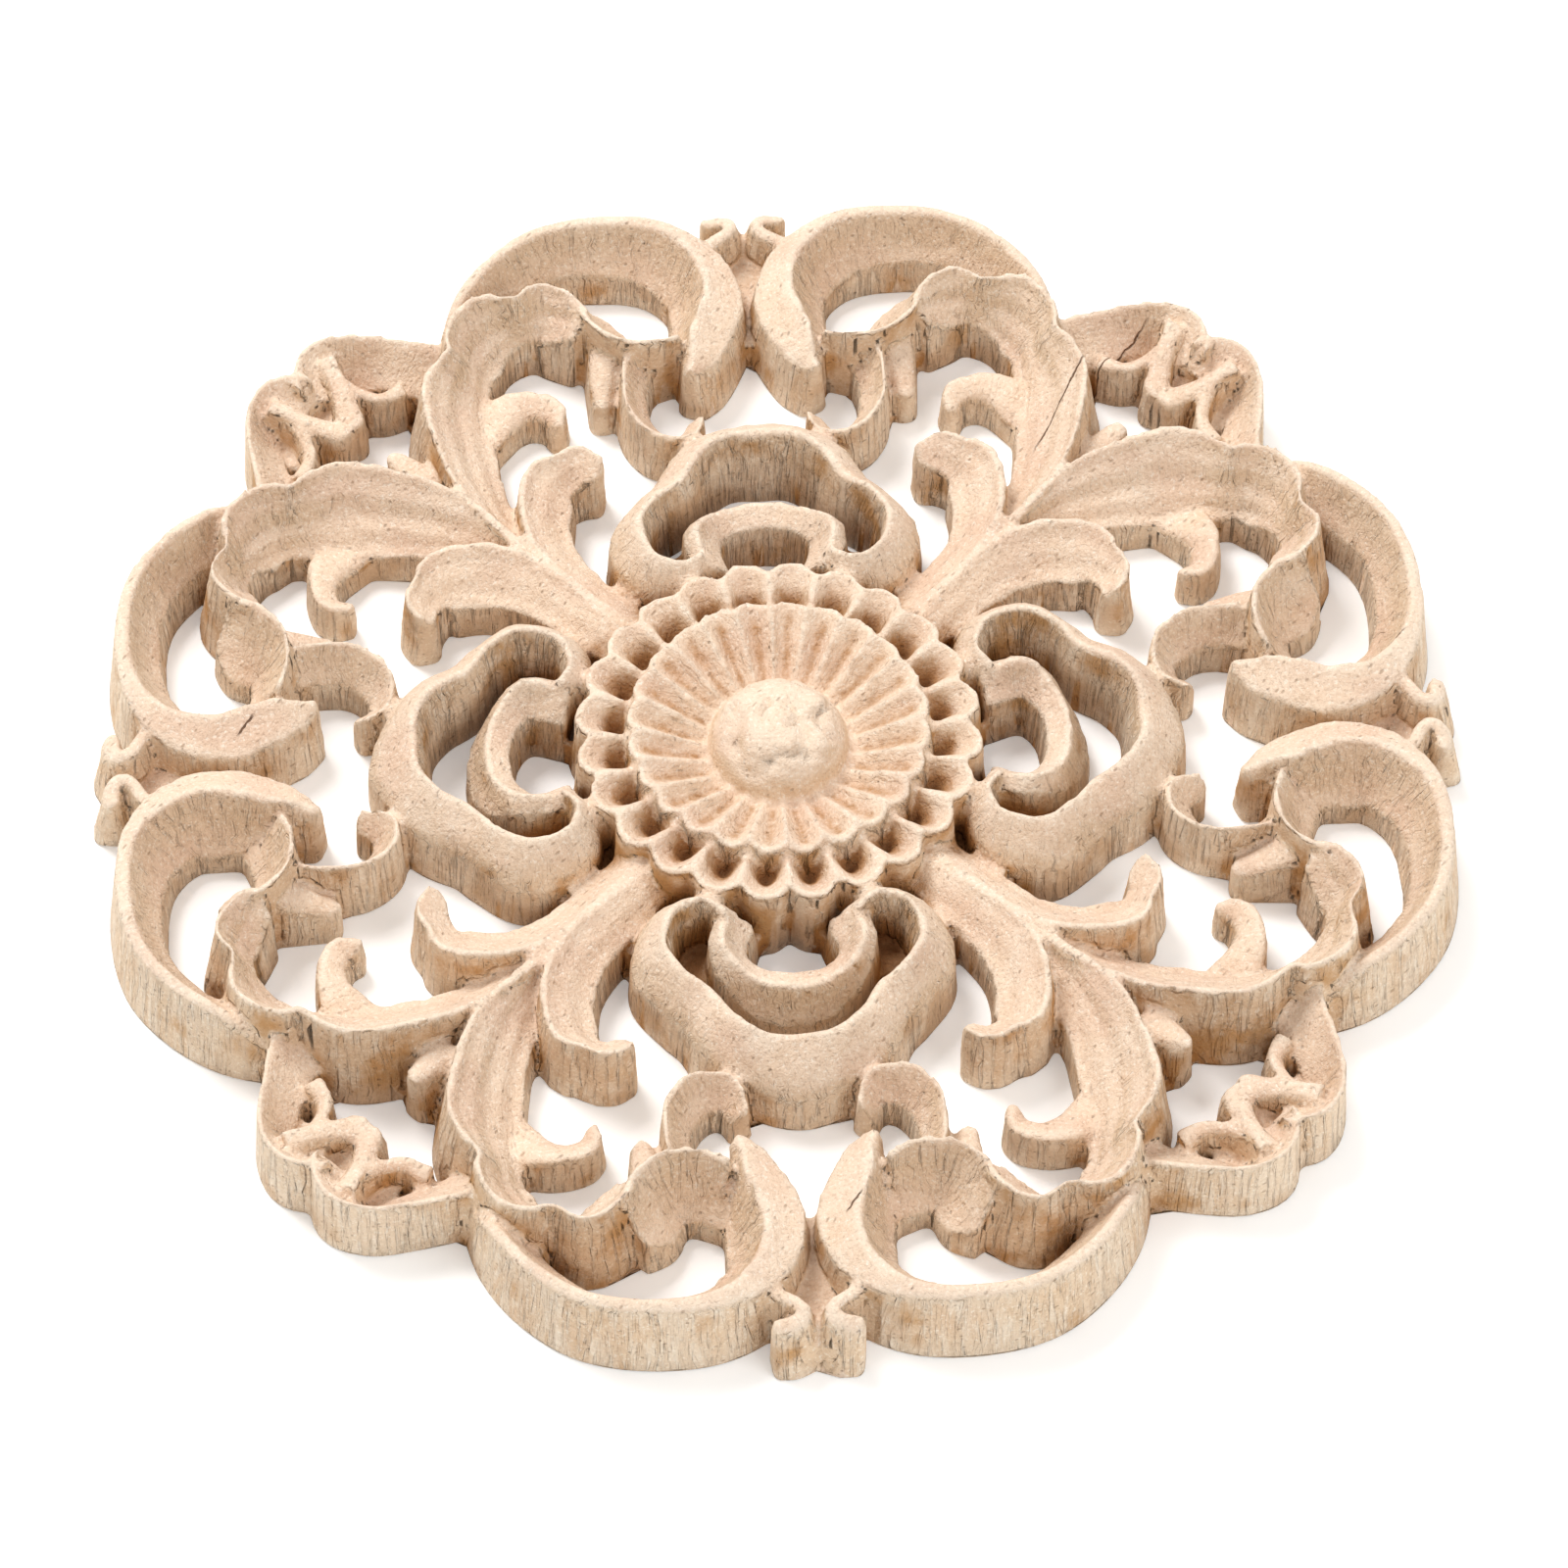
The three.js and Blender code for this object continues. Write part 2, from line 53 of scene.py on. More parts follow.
# One eighth of the carving, between the +X axis and the diagonal, in millimetres.
# Each station: x, y, width, left edge height, crest height, right edge height, crest place.
STROKES = {
    "volute": dict(tip=True, left_slope=0.12, stations=[
        (55.3, 34.0, 3.8, 5.8, 6.0, 5.2, 0.2),
        (60.2, 31.9, 4.1, 9.8, 10.0, 5.6, 0.25),
        (64.8, 28.6, 4.2, 10.4, 10.6, 5.4, 0.28),
        (68.5, 23.8, 4.2, 10.6, 10.8, 5.4, 0.3),
        (69.8, 17.5, 4.6, 10.6, 10.8, 5.2, 0.3),
        (69.0, 10.8, 5.5, 10.2, 10.7, 4.4, 0.32),
        (65.6, 6.1, 7.1, 8.8, 10.6, 3.4, 0.46),
        (61.0, 4.8, 8.2, 8.2, 10.7, 3.2, 0.52),
        (56.8, 5.4, 7.2, 8.2, 10.8, 4.4, 0.62),
        (53.2, 6.0, 4.8, 8.2, 10.2, 7.0, 0.7),
        (51.2, 6.8, 2.4, 8.0, 9.2, 8.0, 0.6),
    ]),
    "bridge": dict(stations=[
        (60.4, 18.7, 3.4, 6.0, 12.2, 12.2, 1),
        (58.2, 16.6, 6.0, 3.8, 12.0, 12.0, 1),
        (55.6, 14.7, 4.6, 3.4, 11.9, 11.9, 1),
        (55.3, 11.8, 4.6, 3.4, 11.5, 11.5, 1),
        (56.4, 8.8, 4.6, 3.6, 10.7, 10.7, 1),
    ]),
    "leaf": dict(flutes=(3, 0.5), left_slope=0.16, stations=[
        (15.2, 14.4, 2.2, 8.2, 8.2, 6.0, 0),
        (30.1, 28.1, 3.8, 9.8, 9.8, 5.6, 0),
        (35.9, 31.4, 6.0, 11.0, 11.0, 5.2, 0),
        (41.3, 32.9, 7.2, 11.9, 11.9, 4.6, 0),
        (47.4, 33.5, 7.7, 12.4, 12.4, 4.2, 0),
        (52.3, 32.1, 4.5, 12.5, 12.5, 4.4, 0),
        (54.4, 32.1, 5.4, 12.6, 12.6, 4.6, 0),
        (57.3, 30.0, 5.6, 12.6, 12.6, 4.8, 0),
        (58.6, 26.3, 2.4, 12.4, 12.4, 6.2, 0),
        (59.4, 23.7, 4.2, 12.5, 12.5, 6.2, 0),
        (58.1, 21.2, 3.8, 12.4, 12.4, 7.6, 0),
        (56.6, 19.2, 2.6, 12.2, 12.2, 9.6, 0),
    ]),
    "leaflet": dict(flutes=(2, 0.4), tip=True, left_slope=0.1, stations=[
        (16.4, 13.4, 3.2, 8.2, 8.2, 6.0, 0),
        (25.4, 21.9, 4.8, 9.4, 9.4, 5.6, 0),
        (30.8, 24.2, 5.6, 10.0, 10.0, 5.4, 0),
        (35.9, 23.8, 5.6, 10.0, 10.0, 5.6, 0),
        (37.4, 22.3, 3.6, 9.9, 9.9, 6.0, 0),
        (38.4, 20.4, 3.6, 9.8, 9.8, 6.6, 0),
        (38.1, 18.6, 2.4, 9.4, 9.4, 7.4, 0),
    ]),
    "tendril": dict(tip=True, rounded=1.0, stations=[
        (46.8, 31.2, 6.4, 4.0, 4.0, 4.0, 0),
        (48.9, 27.9, 4.2, 5.8, 5.8, 4.8, 0),
        (49.4, 25.2, 3.1, 6.2, 6.2, 4.8, 0),
        (48.5, 22.8, 2.8, 6.2, 6.2, 4.6, 0),
        (46.7, 22.4, 1.7, 5.8, 5.8, 4.8, 0),
    ]),
    "hook": dict(tip=True, stations=[
        (53.4, 12.7, 3.0, 5.6, 9.6, 9.6, 1),
        (50.3, 13.5, 2.8, 4.8, 9.6, 9.6, 1),
        (46.4, 13.2, 3.0, 4.4, 9.4, 9.4, 1),
        (43.5, 10.9, 3.2, 4.2, 8.8, 8.8, 1),
        (43.4, 8.0, 2.8, 4.2, 8.0, 8.0, 1),
        (45.4, 6.9, 2.2, 4.4, 7.0, 7.0, 1),
    ]),
    "stub": dict(tip=True, rounded=1.0, stations=[
        (54.6, 16.8, 3.8, 8.4, 8.4, 7.4, 0),
        (49.4, 17.3, 2.4, 5.6, 5.6, 5.2, 0),
    ]),
    "frame": dict(crosses_axis=True, hollow=0.8, stations=[
        (23.6, 6.8, 2.2, 8.4, 11.0, 8.6, 0.7),
        (21.5, 9.4, 3.2, 7.4, 11.5, 8.4, 0.75),
        (23.0, 13.6, 4.2, 6.4, 11.8, 7.6, 0.8),
        (28.0, 15.1, 4.6, 6.4, 12.0, 7.4, 0.8),
        (32.2, 12.6, 4.2, 6.4, 11.8, 7.4, 0.8),
        (34.4, 10.2, 4.8, 6.6, 11.2, 7.4, 0.8),
        (38.1, 7.9, 5.2, 6.6, 11.8, 7.4, 0.8),
        (40.7, 4.3, 5.2, 6.4, 11.7, 7.4, 0.8),
        (41.6, 0, 6.4, 5.2, 11.2, 7.4, 0.8),
    ]),
    "swag": dict(crosses_axis=True, stations=[
        (22.6, 5.8, 4.2, 8.6, 9.4, 7.0, 0.35),
        (27.3, 7.0, 4.2, 9.0, 10.8, 7.0, 0.35),
        (30.6, 4.4, 4.4, 5.0, 8.8, 7.0, 0.42),
        (31.8, 0, 4.8, 3.6, 8.4, 7.2, 0.45),
    ]),
    "axis_cup": dict(tip=True, right_slope=0.18, rounded=1.0, stations=[
        (69.0, 4.4, 1.8, 8.4, 8.4, 8.0, 0),
        (71.0, 1.5, 1.7, 8.6, 8.6, 8.4, 0),
        (72.6, 1.9, 2.0, 8.6, 8.6, 7.8, 0),
        (72.9, 3.9, 2.2, 8.2, 8.2, 7.0, 0),
    ]),
    "palm": dict(tip=True, stations=[
        (53.4, 35.8, 5.2, 4.6, 8.8, 8.8, 1),
        (55.0, 41.6, 4.2, 4.4, 9.2, 9.2, 1),
        (55.6, 46.0, 3.8, 3.6, 9.6, 9.6, 1),
        (54.1, 49.3, 4.0, 5.0, 10.0, 10.0, 1),
        (51.2, 50.4, 3.2, 6.0, 9.6, 9.6, 1),
    ]),
    "palm_floor": dict(stations=[
        (54.0, 44.4, 5.0, 3.2, 3.2, 3.2, 0),
        (50.8, 48.2, 5.0, 3.2, 3.2, 3.2, 0),
        (46.4, 46.6, 3.6, 5.0, 5.0, 5.0, 0),
    ]),
    "palm_curl": dict(rounded=1.0, stations=[
        (51.8, 39.6, 2.4, 6.4, 6.4, 6.0, 0),
        (50.5, 42.4, 1.8, 6.8, 6.8, 6.0, 0),
        (51.4, 45.4, 1.6, 7.6, 7.6, 6.8, 0),
        (53.2, 47.8, 2.0, 8.8, 8.8, 8.0, 0),
    ]),
    "palm_fin": dict(tip=True, rounded=1.0, stations=[
        (54.6, 48.6, 2.8, 9.4, 9.4, 8.2, 0),
        (51.2, 47.0, 2.2, 8.2, 8.2, 7.4, 0),
        (47.4, 45.8, 3.2, 6.8, 6.8, 6.4, 0),
    ]),
    "stem_tip": dict(tip=True, on_mirror=True, rounded=1.0, stations=[
        (36.8, 36.8, 4.2, 7.4, 7.4, 7.4, 0),
        (40.4, 40.4, 2.8, 7.8, 7.8, 7.8, 0),
    ]),
    "axis_web": dict(on_mirror=True, stations=[
        (57.6, 0, 2.4, 3.4, 3.4, 3.4, 0),
        (66.0, 0, 5.4, 3.4, 3.4, 3.4, 0),
        (73.4, 0, 6.0, 3.4, 3.4, 3.4, 0),
    ]),
    "root_web": dict(on_mirror=True, stations=[
        (13.5, 13.5, 12.0, 3.4, 3.4, 3.4, 0),
        (26.0, 26.0, 6.0, 3.4, 3.4, 3.4, 0),
    ]),
    "curl_web": dict(stations=[
        (22.0, 8.4, 3.4, 3.4, 3.4, 3.4, 0),
        (28.2, 10.6, 3.6, 3.4, 3.4, 3.4, 0),
    ]),
}
SIDE_SLOPE = 0.06  # lean of the walls, where a stroke gives no slope of its own
SCOOP = 1.5  # power of the hollow between crest and edge
ROUNDED = 0.35  # how far the edges of a face drop
TIP_SECTIONS = 5  # sections that round off the end of a stroke
BELOW = 1.0  # the strokes reach this far below the back, which is then cut flat
SECTION_STEP = 0.7  # distance between the sections of a stroke
FACE_ROWS = 13  # points across the face of a stroke
RUN_APART = 97  # shift of the run from one copy to the next
RING_RUN = 18  # radius at which the run goes round the flower
TORN_DEPTH = 0.9  # depth of the tears in the top of the boss
FLAT_BACK = 0.3  # below this height the surface isn't worked
BOX_HALF, BOX_TOP = 75.2, 13.1  # the worked surface stays inside the solid's box

# Cracks along the grain, on the carved piece: start and end in plan, millimetres
CRACKS = (
    (30.8, 38.5, 37.8, 49.2),
    (38.1, 49.3, 45.8, 56.6),
    (-59.0, 2.8, -57.1, 5.1),
    (65.6, 6.7, 69.8, 9.5),
    (3.4, -60.9, 5.4, -58.7),
)


# Drawing the carving --------------------------------------------------------------------

def through_stations(stations, t):
    """Smooth values of every column at the places t along the stations."""
    table = np.asarray(stations, float)
    last = len(table) - 1
    i = np.minimum(t.astype(int), last - 1)
    s = (t - i)[:, None]
    a, b = table[np.maximum(i - 1, 0)], table[i]
    c, d = table[i + 1], table[np.minimum(i + 2, last)]
    rise, fall, gap = (c - a) / 2, (d - b) / 2, c - b
    return b + s * (rise + s * (3 * gap - 2 * rise - fall + s * (rise + fall - 2 * gap)))


def stroke_surface(stroke, step, rows):
    """Closed grid of points for one stroke: sections along it, each from foot to foot.
    With it come the distances of the sections along the stroke."""
    stations = list(stroke["stations"])
    if stroke.get("crosses_axis"):
        stations += [(x, -y, *rest) for x, y, *rest in reversed(stations[:-1])]
    last = len(stations) - 1
    dense = np.linspace(0, last, 40 * last + 1)
    line = through_stations(stations, dense)[:, :2]
    run = np.concatenate([[0], np.cumsum(np.hypot(*np.diff(line, axis=0).T))])
    count = max(int(run[-1] / step), 2)
    even = np.linspace(0, run[-1], count + 1)
    t = np.interp(even, run, dense)
    push = np.zeros_like(t)
    narrow = np.ones_like(t)
    here = through_stations(stations, t)
    ahead = through_stations(stations, np.minimum(t + 0.03, last))
    behind = through_stations(stations, np.maximum(t - 0.03, 0))
    along = (ahead - behind)[:, :2]
    along /= np.linalg.norm(along, axis=1)[:, None]
    if stroke.get("tip"):
        turn = np.linspace(0, 0.96 * math.pi / 2, TIP_SECTIONS + 1)[1:]
        even = np.append(even, np.repeat(even[-1:], TIP_SECTIONS))
        here = np.vstack([here, np.repeat(here[-1:], TIP_SECTIONS, axis=0)])
        along = np.vstack([along, np.repeat(along[-1:], TIP_SECTIONS, axis=0)])
        push = np.concatenate([push, np.sin(turn) * here[-1, 2] / 2])
        narrow = np.concatenate([narrow, np.cos(turn)])
    side = np.stack([-along[:, 1], along[:, 0]], 1)
    half = here[:, 2] / 2 * narrow
    centre = here[:, :2] + along * push[:, None]
    across = np.linspace(0, 1, rows)
    place = np.clip(here[:, 6], 0.05, 0.95)[:, None]
    on_left = across[None] < place
    edge = np.where(on_left, here[:, 3:4], here[:, 5:6])
    away = np.where(on_left, (place - across) / place, (across - place) / (1 - place))
    height = edge + (here[:, 4:5] - edge) * (1 - away) ** stroke.get("hollow", SCOOP)
    height = height - stroke.get("rounded", ROUNDED) * np.abs(2 * across - 1) ** 4
    if "flutes" in stroke:
        flutes, deep = stroke["flutes"]
        wave = 0.5 - 0.5 * np.cos(2 * math.pi * flutes * across)
        height = height - wave[None] * deep * np.clip(here[:, 2:3] / 4, 0, 1)
    offset = half[:, None] - 2 * half[:, None] * across[None]
    foot_left = half + stroke.get("left_slope", SIDE_SLOPE) * (here[:, 3] + BELOW)
    foot_right = -half - stroke.get("right_slope", SIDE_SLOPE) * (here[:, 5] + BELOW)
    offset = np.hstack([foot_left[:, None], offset, foot_right[:, None]])
    height = np.hstack([np.full((len(half), 1), -BELOW), height, np.full((len(half), 1), -BELOW)])
    xy = centre[:, None, :] + side[:, None, :] * offset[:, :, None]
    return np.dstack([xy, height]), even + push


def close_grid(points):
    """Quads round every section of a grid, and a cap over each end."""
    n, m, _ = points.shape
    i, k = np.meshgrid(np.arange(n - 1), np.arange(m), indexing="ij")
    a, b = i * m + k, i * m + (k + 1) % m
    quads = np.stack([a, b, b + m, a + m], -1).reshape(-1, 4)
    caps = [list(range(m - 1, -1, -1)), list(range((n - 1) * m, n * m))]
    return points.reshape(-1, 3), quads.tolist() + caps


def turned_grid(rings, count):
    """Closed grid round the Z axis. Each ring is a radius and a height at every angle."""
    angle = np.arange(count) / count * 2 * math.pi
    points = []
    for r, z in rings:
        r = np.broadcast_to(r, angle.shape)
        z = np.broadcast_to(z, angle.shape)
        points.append(np.stack([r * np.cos(angle), r * np.sin(angle), z], 1))
    points, faces = close_grid(np.array(points))
    return points, [list(reversed(face)) for face in faces]


def flower_surface(radius, rim, petals):
    """Two rings of cupped petals, each with a pit at its root, round a funnel."""
    count = petals * 14
    angle = np.arange(count) / count * 2 * math.pi
    beat = np.abs(np.sin(petals / 2 * angle))  # 1 in the middle of a petal, 0 between two
    cupped = beat ** 1.2
    notch = (1 - beat) ** 1.3
    inner, inner_rim = 16.5, 11.6
    rings = [
        (0.01, 6.0 + 0 * beat),
        (5.8, 6.0 + 0 * beat),
        (8.4, 7.6 - 1.1 * cupped),
        (10.4, 8.9 - 1.8 * cupped),
        (13.0, 10.4 - 2.0 * cupped),
        (15.0, 11.4 - 1.7 * cupped),
        (inner - 0.4 - 0.9 * notch, inner_rim - 0.9 * cupped),
        (inner + 0.1 - 0.9 * notch, inner_rim - 0.4 * cupped - 0.3),
        (inner + 0.6 - 0.8 * notch, rim - 0.8 - 4.0 * cupped),
        (inner + 1.6, rim - 0.5 - 4.4 * cupped ** 1.5),
        (inner + 2.7, rim - 0.2 - 3.0 * cupped ** 1.5),
        (inner + 4.2, rim - 0.1 - 1.6 * cupped),
        (radius - 0.6 - 1.6 * notch, rim - 0.6 * cupped),
        (radius - 0.1 - 1.6 * notch, rim - 0.5 * cupped - 0.3),
        (radius + 0.6 - 1.6 * notch, -BELOW + 0 * beat),
        (0.01, -BELOW + 0 * beat),
    ]
    return turned_grid(rings, count)


def boss_surface(radius, top):
    """Dome in the middle of the flower."""
    foot = 4.0
    rings = [(0.01, foot), (radius, foot)]
    for turn in np.linspace(0, 0.995 * math.pi / 2, 14):
        rings.append((radius * math.cos(turn) ** 0.9, foot + 2 + (top - foot - 2) * math.sin(turn)))
    return turned_grid(rings[::-1], 64)


def eight_copies(points, faces, stroke):
    """The stroke in all its places: quarter turns, and the mirror image of each."""
    swaps = (False,) if stroke.get("crosses_axis") or stroke.get("on_mirror") else (False, True)
    for quarter in range(4):
        cos, sin = (1, 0, -1, 0)[quarter], (0, 1, 0, -1)[quarter]
        for swap in swaps:
            x, y = (points[:, 1], points[:, 0]) if swap else (points[:, 0], points[:, 1])
            moved = np.stack([x * cos - y * sin, x * sin + y * cos, points[:, 2]], 1)
            yield moved, [list(reversed(f)) for f in faces] if swap else faces


def joined(parts):
    """One list of points and faces from many."""
    points, faces, start = [], [], 0
    for p, f in parts:
        points.append(p)
        faces.extend([[v + start for v in face] for face in f])
        start += len(p)
    return np.vstack(points), faces


# Working the surface --------------------------------------------------------------------

def evaluated(obj):
    """The object's mesh with its modifiers worked in."""
    graph = bpy.context.evaluated_depsgraph_get()
    mesh = bpy.data.meshes.new_from_object(obj.evaluated_get(graph))
    old = obj.data
    obj.modifiers.clear()
    obj.data = mesh
    bpy.data.meshes.remove(old)


def vectors_of(mesh, name):
    """Places ("co") or normals ("normal") of a mesh's vertices."""
    flat = np.empty(len(mesh.vertices) * 3, np.float32)
    mesh.vertices.foreach_get(name, flat)
    return flat.reshape(-1, 3).astype(float)


def edges_of(mesh):
    """Pairs of neighbouring vertices."""
    flat = np.empty(len(mesh.edges) * 2, np.int32)
    mesh.edges.foreach_get("vertices", flat)
    return flat.reshape(-1, 2)


def soften(points, edges, rounds, share):
    """Moves every point towards the mean of its neighbours."""
    n = len(points)
    one, other = edges.T
    degree = np.bincount(edges.ravel(), minlength=n)[:, None]
    for _ in range(rounds):
        total = np.stack([
            np.bincount(one, axis[other], n) + np.bincount(other, axis[one], n) for axis in points.T
        ], 1)
        points = points + share * (total / degree - points)
    return points


def lumps(points, size, seed):
    """Smooth random numbers from -1 to 1 in space, with lumps of the given size."""
    rng = np.random.default_rng(seed)
    lattice = rng.uniform(-1, 1, (64, 64, 64))
    place = points / size
    cell = np.floor(place).astype(int)
    s = place - cell
    s = s * s * (3 - 2 * s)
    total = np.zeros(len(points))
    for corner in np.ndindex(2, 2, 2):
        index = (cell + corner) % 64
        weight = np.prod(np.where(np.array(corner) == 1, s, 1 - s), axis=1)
        total += lattice[index[:, 0], index[:, 1], index[:, 2]] * weight
    return total


def blurred(grid, radius):
    """Box blur run three times, close to a round one."""
    for _ in range(3):
        for axis in (0, 1):
            pad = [(0, 0), (0, 0)]
            pad[axis] = (radius + 1, radius)
            total = np.cumsum(np.pad(grid, pad, mode="edge"), axis=axis)
            size = grid.shape[axis]
            high = np.take(total, np.arange(2 * radius + 1, 2 * radius + 1 + size), axis=axis)
            low = np.take(total, np.arange(0, size), axis=axis)
            grid = (high - low) / (2 * radius + 1)
    return grid


def hollow_shade(points, petals, cell=0.5, reach=5):
    """How deep each point lies below the carving around it, from 0 in the open to 1, with the grooves and
    pits of the flower counted as deep; the wood's colour paints shade by it. And how enclosed it is, from 0
    at the outline."""
    size = int(170 / cell)
    ij = np.clip(((points[:, :2] + 85) / cell).astype(int), 0, size - 1)
    top = np.zeros((size, size))
    np.maximum.at(top, (ij[:, 0], ij[:, 1]), points[:, 2])
    near = blurred(top, reach)
    enclosed = np.clip((blurred(top, 3 * reach)[ij[:, 0], ij[:, 1]] - 2.6) / 2.2, 0, 1)
    deep = np.clip((near[ij[:, 0], ij[:, 1]] * 1.35 - points[:, 2]) / 7.0, 0, 1) * (0.4 + 0.6 * enclosed)
    out = np.hypot(points[:, 0], points[:, 1])
    deep = np.where(out < 17, 0.5 * deep, deep)  # the funnel of the flower lies open to the light
    beat = np.abs(np.sin(petals / 2 * np.arctan2(points[:, 1], points[:, 0])))
    # Painted shade: darker in the grooves of the inner petals and in the pits at the roots of the outer
    # petals
    groove = 0.48 * beat ** 2.5 * np.clip((out - 7.5) / 1.5, 0, 1) * np.clip((16.4 - out) / 1.5, 0, 1)
    pit = 0.85 * beat ** 1.5 * np.exp(-((out - 18.2) / 1.4) ** 2)
    return np.maximum(deep, np.maximum(groove, pit)), enclosed


def nearest_runs(points, marks, runs):
    """For each point, the distance along the stroke whose surface lies nearest."""
    tree = KDTree(len(marks))
    for i, mark in enumerate(marks.tolist()):
        tree.insert(mark, i)
    tree.balance()
    return runs[[tree.find(point)[1] for point in points.tolist()]]


def work_the_surface(mesh, radius, petals, marks, runs):
    """Uneven cuts, ragged crests and the torn top of the boss, on points in millimetres."""
    points, normals, edges = vectors_of(mesh, "co"), vectors_of(mesh, "normal"), edges_of(mesh)
    crest = np.sum((points - soften(points, edges, 8, 0.5)) * normals, axis=1)
    crest = np.clip(crest / 0.25, -1, 1)
    wave = 0.10 * lumps(points, 3.4, 1) + 0.08 * lumps(points, 1.2, 2)
    ragged = 0.18 * lumps(points, 0.9, 3) * np.clip(crest, 0, 1)
    out = np.hypot(points[:, 0], points[:, 1])
    on_boss = np.clip((radius - 0.8 - out) / 1.5, 0, 1)
    torn = -TORN_DEPTH * np.clip(0.15 - np.abs(lumps(points * [1, 1, 0.2], 3.1, 7)), 0, 1) / 0.15
    dent = -TORN_DEPTH * np.exp(-((points[:, 0] - 2.9) / 1.0) ** 2 - ((points[:, 1] + 3.0) / 2.4) ** 2)
    rough = 0.65 * lumps(points, 2.4, 5) + 0.25 * lumps(points, 1.0, 8)
    shift = wave + ragged + on_boss * (torn * 1.3 + dent + rough)
    # The back stays flat and the outline stays inside the solid's box
    shift = np.where(points[:, 2] < FLAT_BACK, 0, np.where(out > 68, np.minimum(shift, 0), shift))
    points = points + normals * shift[:, None]
    points = np.clip(points, (-BOX_HALF, -BOX_HALF, 0), (BOX_HALF, BOX_HALF, BOX_TOP))
    along = nearest_runs(points, marks, runs)
    # Where two strokes meet, the ridges fade out
    seam = np.zeros(len(points))
    seam[edges[np.abs(along[edges[:, 0]] - along[edges[:, 1]]) > 5].ravel()] = 1
    seam = np.maximum(seam, np.clip(radius + 1 - out, 0, 1))
    # Mask of the painted shade in the hollows, stored for the wood's colour
    deep, enclosed = hollow_shade(points, petals)
    values_of = {"hollow_shade": deep, "enclosed": enclosed, "crest": crest, "along": along, "seam": seam}
    for name, values in values_of.items():
        stored = mesh.attributes.new(name, "FLOAT", "POINT")
        stored.data.foreach_set("value", values.astype(np.float32))
    mesh.vertices.foreach_set("co", (points * MM).astype(np.float32).ravel())
    mesh.update()


# Wood -----------------------------------------------------------------------------------

def linear(hex_colour):
    """sRGB hex colour as linear RGBA."""
    channels = [int(hex_colour[i:i + 2], 16) / 255 for i in (1, 3, 5)]
    return tuple(c / 12.92 if c <= 0.04045 else ((c + 0.055) / 1.055) ** 2.4 for c in channels) + (1.0,)


def add(tree, kind, inputs=None, **settings):
    """Adds a node with its settings. Inputs, by name or number, are values or sockets to link."""
    node = tree.nodes.new(kind)
    for name, value in settings.items():
        setattr(node, name, value)
    for name, value in (inputs or {}).items():
        if isinstance(value, bpy.types.NodeSocket):
            tree.links.new(value, node.inputs[name])
        else:
            node.inputs[name].default_value = value
    return node


def crack_mask(tree, place, wobble, x0, y0, x1, y1, width):
    """1 on a thin line between two points of the plan, given in millimetres, fading at its ends."""
    length = math.hypot(x1 - x0, y1 - y0)
    turn = math.atan2(y1 - y0, x1 - x0)
    middle = Vector(((x0 + x1) / 2 * MM, (y0 + y1) / 2 * MM, 0))
    along = Vector((math.cos(turn), math.sin(turn), 0))
    across = Vector((-math.sin(turn), math.cos(turn), 0))
    place = add(tree, "ShaderNodeVectorMath", {0: place, 1: middle}, operation="SUBTRACT").outputs[0]
    v = add(tree, "ShaderNodeVectorMath", {0: place, 1: across}, operation="DOT_PRODUCT").outputs["Value"]
    u = add(tree, "ShaderNodeVectorMath", {0: place, 1: along}, operation="DOT_PRODUCT").outputs["Value"]
    v = add(tree, "ShaderNodeMath", {0: wobble, 1: 0.8 * MM, 2: v}, operation="MULTIPLY_ADD").outputs[0]
    v = add(tree, "ShaderNodeMath", {0: v, 1: 0.4 * MM}, operation="SUBTRACT").outputs[0]
    v = add(tree, "ShaderNodeMath", {0: v}, operation="ABSOLUTE").outputs[0]
    u = add(tree, "ShaderNodeMath", {0: u}, operation="ABSOLUTE").outputs[0]
    near = add(tree, "ShaderNodeMapRange", {
        0: v, 1: width * 0.3 * MM, 2: width * MM, 3: 1.0, 4: 0.0}).outputs[0]
    ends = add(tree, "ShaderNodeMapRange", {
        0: u, 1: length * 0.3 * MM, 2: length * 0.52 * MM, 3: 1.0, 4: 0.0}).outputs[0]
    return add(tree, "ShaderNodeMath", {0: near, 1: ends}, operation="MULTIPLY").outputs[0]


